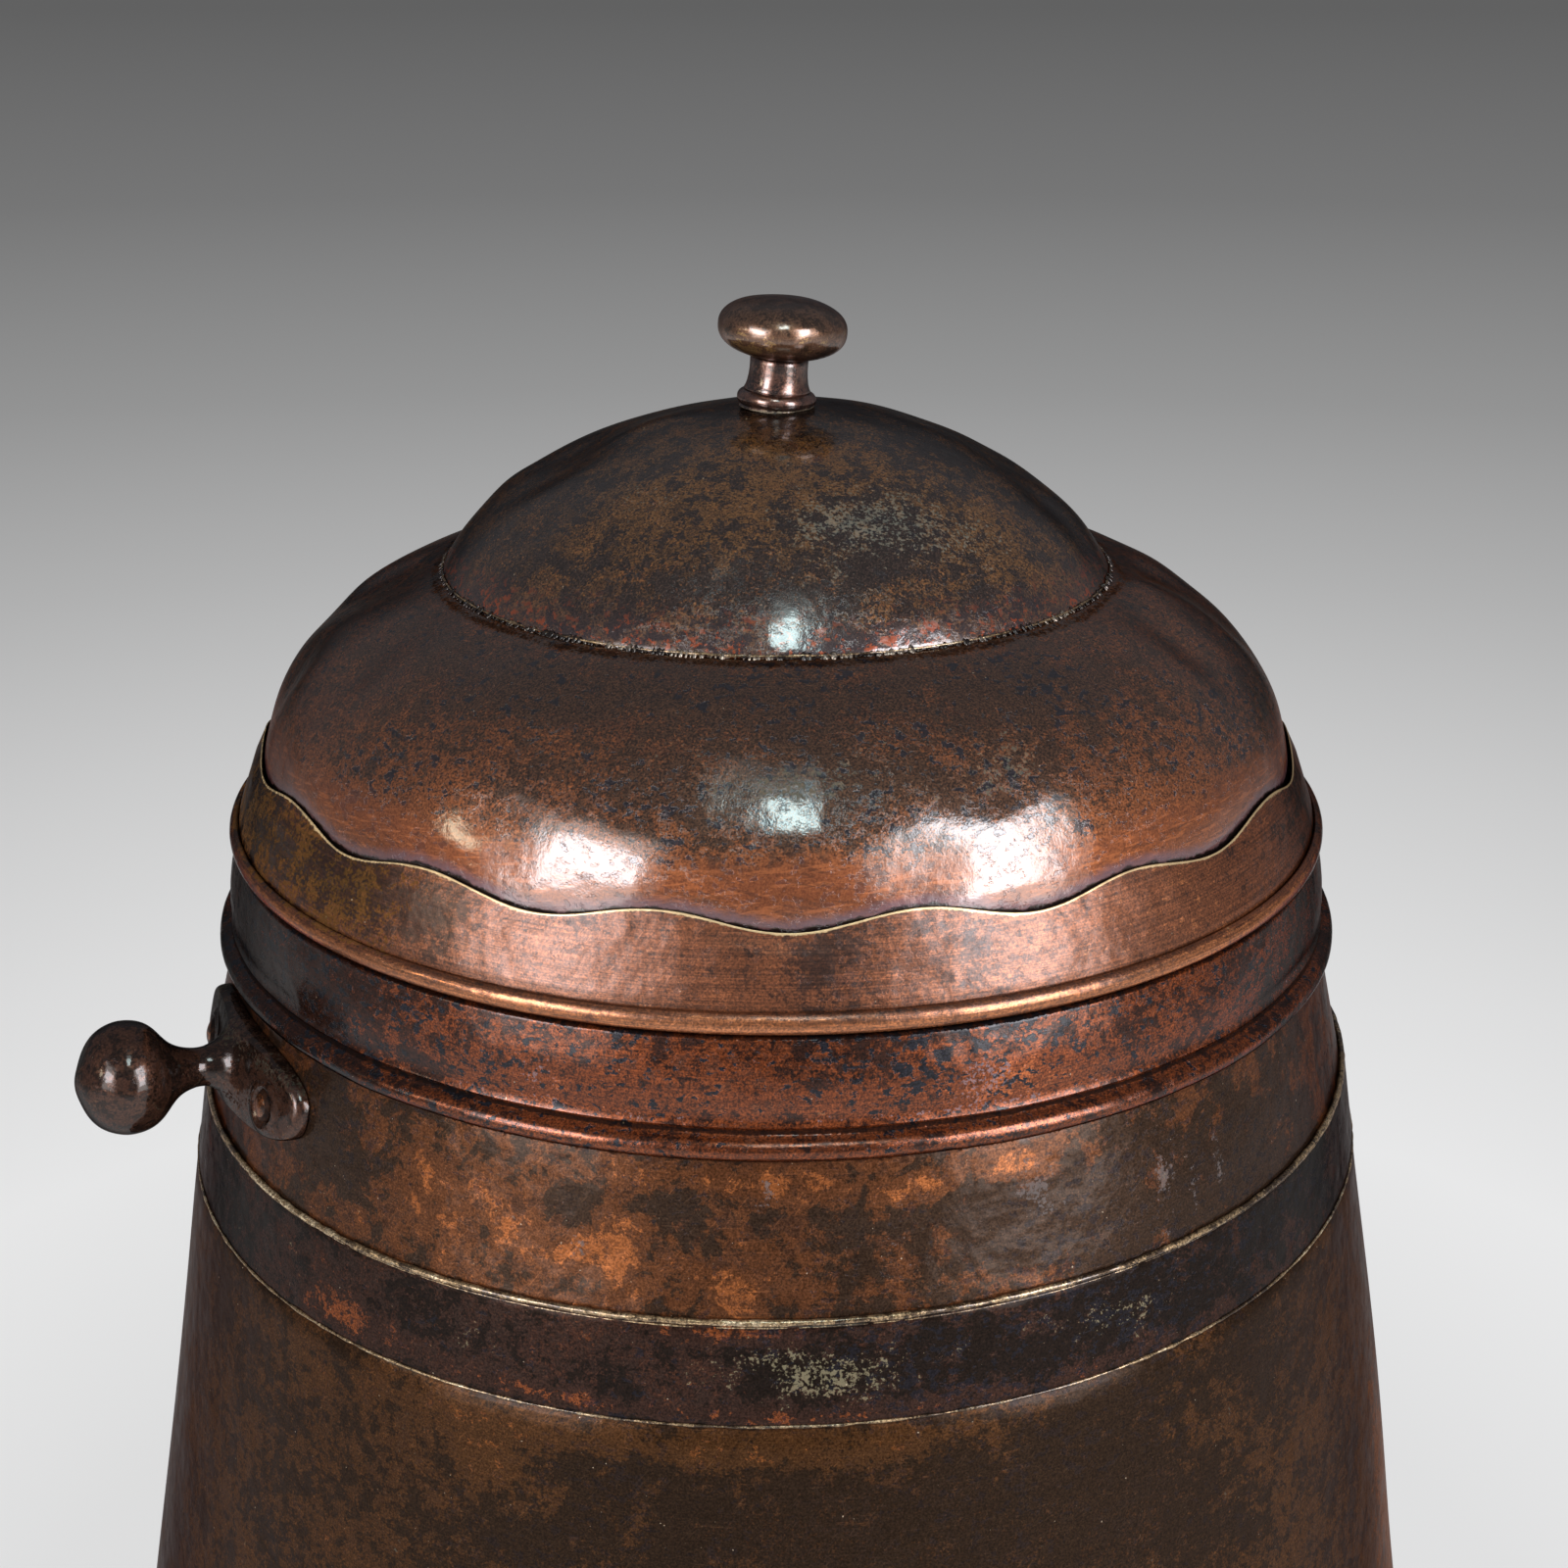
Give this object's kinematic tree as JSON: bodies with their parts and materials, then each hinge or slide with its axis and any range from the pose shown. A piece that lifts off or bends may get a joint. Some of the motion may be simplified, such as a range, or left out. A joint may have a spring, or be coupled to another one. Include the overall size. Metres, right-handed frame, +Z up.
{
  "type": "coal bin",
  "caption": "Tapered round copper coal bin with a two-stage domed lift-off lid, mushroom knob, waved lid skirt, mouth collar, waist strap and cast ball handles.",
  "frame": {"origin": "middle of the ring that the bin stands on, at floor level", "axes": "+Z up along the axis of the bin and its lid; -Y is the side shown to the room; the left handle is toward -X and -Y"},
  "size_m": [0.4726, 0.4726, 0.5196],
  "materials": {
    "dark_copper": "old dark brown patina on copper sheet, speckled",
    "brown_copper": "brown patina on copper sheet, worn through to orange",
    "band_copper": "rubbed copper with fine brush lines round the lid",
    "strap_copper": "nearly black patina with grey-green specks",
    "bronze": "glossy brown cast bronze",
    "iron": "plain iron wire and fastenings"
  },
  "bodies": {
    "bin": {"lower_wall": "brown_copper", "foot_wire": "iron", "base_plate": "dark_copper", "upper_wall": "dark_copper", "waist_strap": "strap_copper", "mouth_collar": "band_copper", "handle_left": "bronze", "handle_right": "bronze", "rivet_left_front": "bronze", "burr_left_front": "dark_copper", "rivet_left_back": "bronze", "burr_left_back": "dark_copper", "rivet_right_front": "bronze", "burr_right_front": "dark_copper", "rivet_right_back": "bronze", "burr_right_back": "dark_copper"},
    "lid": {"lid_skirt": "band_copper", "rim_wire": "iron", "lid_crown": "dark_copper", "lid_shoulder": "brown_copper", "knob_head": "bronze", "knob_pedestal": "bronze", "knob_stud": "iron", "knob_washer": "dark_copper", "knob_nut": "iron"}
  },
  "joints": [
    {"name": "lid_lift", "type": "slide", "parent": "bin", "child": "lid", "axis": [0, 0, 1], "range_m": [0, 0.15]}
  ]
}
